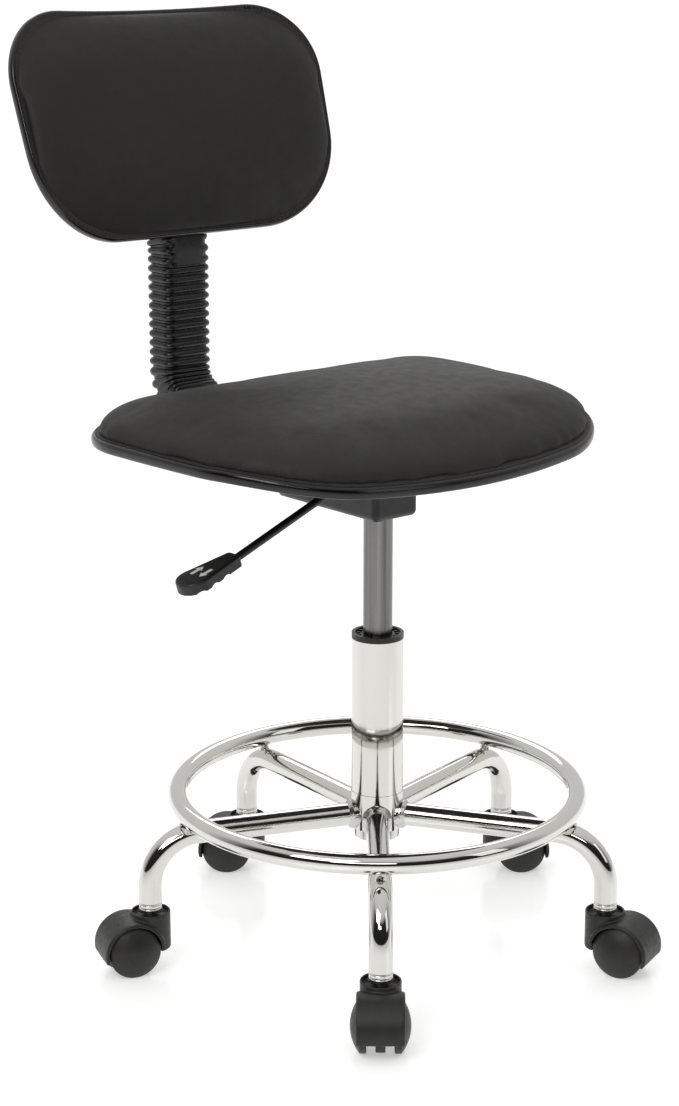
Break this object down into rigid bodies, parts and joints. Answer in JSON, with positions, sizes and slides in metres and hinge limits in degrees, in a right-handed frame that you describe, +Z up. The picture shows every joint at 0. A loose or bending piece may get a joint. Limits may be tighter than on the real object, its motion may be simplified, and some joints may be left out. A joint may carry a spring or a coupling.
{
  "type": "drafting chair",
  "caption": "Height-adjustable drafting chair with padded seat and backrest, foot ring, gas lift and a star base on twin-wheel casters.",
  "frame": {"origin": "on the floor, on the axis of the gas column", "axes": "+Z up along the column, the sitter faces -Y, +X is the sitter's left; the lever is on -X"},
  "size_m": [0.5384, 0.6231, 0.888],
  "materials": {
    "upholstery": "matt fine grain leatherette",
    "black_vinyl": "soft gloss extrusion",
    "black_rubber": "moulded, ribbed",
    "plywood": "raw",
    "black_plastic": "fine texture",
    "caster_nylon": "satin moulded",
    "black_steel": "powder coat",
    "steel": "zinc plated",
    "satin_steel": "ground satin",
    "chrome": "polished"
  },
  "bodies": {
    "base": {"hub_tube": "chrome", "leg_1": "chrome", "leg_2": "chrome", "leg_3": "chrome", "leg_4": "chrome", "leg_5": "chrome", "foot_ring": "chrome", "weld_beads": "chrome", "column_tube": "chrome", "column_bush": "black_plastic", "thrust_bearing": "steel", "leg_sockets": "black_plastic", "caster_stems": "steel"},
    "rod": {"piston_rod": "steel", "rod_retainers": "steel"},
    "seat": {"gas_cylinder": "satin_steel", "mechanism_housing": "black_steel", "taper_socket": "black_steel", "lever_pin": "steel", "mounting_plate": "black_steel", "seat_bolts": "steel", "seat_tee_nuts": "steel", "seat_board": "plywood", "seat_trim": "black_vinyl", "seat_cushion": "upholstery", "back_bar": "black_steel", "bar_bolts": "steel", "bar_bellows": "black_rubber"},
    "valve": {"valve_pin": "steel"},
    "lever": {"lever_rod": "black_steel", "lever_paddle": "black_plastic"},
    "backrest": {"back_bracket": "black_steel", "back_board": "plywood", "back_shell": "black_plastic", "back_trim": "black_vinyl", "back_cushion": "upholstery", "back_bolts": "steel", "back_tee_nuts": "steel"},
    "knob": {"back_knob": "black_plastic"},
    "caster_1": {"caster_hood_1": "caster_nylon", "caster_axle_1": "steel"},
    "wheel_a_1": {"caster_wheel_a_1": "caster_nylon"},
    "wheel_b_1": {"caster_wheel_b_1": "caster_nylon"},
    "caster_2": {"caster_hood_2": "caster_nylon", "caster_axle_2": "steel"},
    "wheel_a_2": {"caster_wheel_a_2": "caster_nylon"},
    "wheel_b_2": {"caster_wheel_b_2": "caster_nylon"},
    "caster_3": {"caster_hood_3": "caster_nylon", "caster_axle_3": "steel"},
    "wheel_a_3": {"caster_wheel_a_3": "caster_nylon"},
    "wheel_b_3": {"caster_wheel_b_3": "caster_nylon"},
    "caster_4": {"caster_hood_4": "caster_nylon", "caster_axle_4": "steel"},
    "wheel_a_4": {"caster_wheel_a_4": "caster_nylon"},
    "wheel_b_4": {"caster_wheel_b_4": "caster_nylon"},
    "caster_5": {"caster_hood_5": "caster_nylon", "caster_axle_5": "steel"},
    "wheel_a_5": {"caster_wheel_a_5": "caster_nylon"},
    "wheel_b_5": {"caster_wheel_b_5": "caster_nylon"}
  },
  "joints": [
    {"name": "seat_swivel", "type": "hinge", "parent": "base", "child": "rod", "pos_m": [0, 0, 0.2], "axis": [0, 0, 1], "continuous": true},
    {"name": "height_lift", "type": "slide", "parent": "rod", "child": "seat", "axis": [0, 0, 1], "range_m": [-0.1, 0]},
    {"name": "lever_lift", "type": "hinge", "parent": "seat", "child": "lever", "pos_m": [-0.014, 0, 0.4788], "axis": [0, 1, 0], "range_deg": [0, 12], "stiffness_Nm_per_rad": 1.2, "springref_deg": -6.88},
    {"name": "valve_press", "type": "slide", "parent": "seat", "child": "valve", "axis": [0, 0, 1], "range_m": [-0.003, 0]},
    {"name": "back_height", "type": "slide", "parent": "seat", "child": "backrest", "axis": [0, 0.309, 0.9511], "range_m": [-0.05, 0], "deforming": ["bar_bellows"]},
    {"name": "knob_turn", "type": "hinge", "parent": "backrest", "child": "knob", "pos_m": [0, 0.34524, 0.76587], "axis": [0, -0.9511, 0.309], "range_deg": [0, 540]},
    {"name": "caster_swivel_1", "type": "hinge", "parent": "base", "child": "caster_1", "pos_m": [-0.14747, -0.17389, 0.06], "axis": [0, 0, 1], "continuous": true},
    {"name": "wheel_a_spin_1", "type": "hinge", "parent": "caster_1", "child": "wheel_a_1", "pos_m": [-0.16133, -0.18967, 0.025], "axis": [0.7513, -0.66, 0], "continuous": true},
    {"name": "wheel_b_spin_1", "type": "hinge", "parent": "caster_1", "child": "wheel_b_1", "pos_m": [-0.16133, -0.18967, 0.025], "axis": [0.7513, -0.66, 0], "continuous": true},
    {"name": "caster_swivel_2", "type": "hinge", "parent": "base", "child": "caster_2", "pos_m": [0.11981, -0.19398, 0.06], "axis": [0, 0, 1], "continuous": true},
    {"name": "wheel_a_spin_2", "type": "hinge", "parent": "caster_2", "child": "wheel_a_2", "pos_m": [0.12723, -0.21363, 0.025], "axis": [0.9354, 0.3535, 0], "continuous": true},
    {"name": "wheel_b_spin_2", "type": "hinge", "parent": "caster_2", "child": "wheel_b_2", "pos_m": [0.12723, -0.21363, 0.025], "axis": [0.9354, 0.3535, 0], "continuous": true},
    {"name": "caster_swivel_3", "type": "hinge", "parent": "base", "child": "caster_3", "pos_m": [0.22151, 0.054, 0.06], "axis": [0, 0, 1], "continuous": true},
    {"name": "wheel_a_spin_3", "type": "hinge", "parent": "caster_3", "child": "wheel_a_3", "pos_m": [0.23729, 0.04014, 0.025], "axis": [0.66, 0.7513, 0], "continuous": true},
    {"name": "wheel_b_spin_3", "type": "hinge", "parent": "caster_3", "child": "wheel_b_3", "pos_m": [0.23729, 0.04014, 0.025], "axis": [0.66, 0.7513, 0], "continuous": true},
    {"name": "caster_swivel_4", "type": "hinge", "parent": "base", "child": "caster_4", "pos_m": [0.01709, 0.22736, 0.06], "axis": [0, 0, 1], "continuous": true},
    {"name": "wheel_a_spin_4", "type": "hinge", "parent": "caster_4", "child": "wheel_a_4", "pos_m": [0.00132, 0.24122, 0.025], "axis": [-0.66, -0.7513, 0], "continuous": true},
    {"name": "wheel_b_spin_4", "type": "hinge", "parent": "caster_4", "child": "wheel_b_4", "pos_m": [0.00132, 0.24122, 0.025], "axis": [-0.66, -0.7513, 0], "continuous": true},
    {"name": "caster_swivel_5", "type": "hinge", "parent": "base", "child": "caster_5", "pos_m": [-0.21095, 0.08652, 0.06], "axis": [0, 0, 1], "continuous": true},
    {"name": "wheel_a_spin_5", "type": "hinge", "parent": "caster_5", "child": "wheel_a_5", "pos_m": [-0.23077, 0.09346, 0.025], "axis": [-0.3305, -0.9438, 0], "continuous": true},
    {"name": "wheel_b_spin_5", "type": "hinge", "parent": "caster_5", "child": "wheel_b_5", "pos_m": [-0.23077, 0.09346, 0.025], "axis": [-0.3305, -0.9438, 0], "continuous": true}
  ],
  "couplings": [
    {"joint": "valve_press", "follows": "lever_lift", "m_per_rad": -0.014}
  ]
}
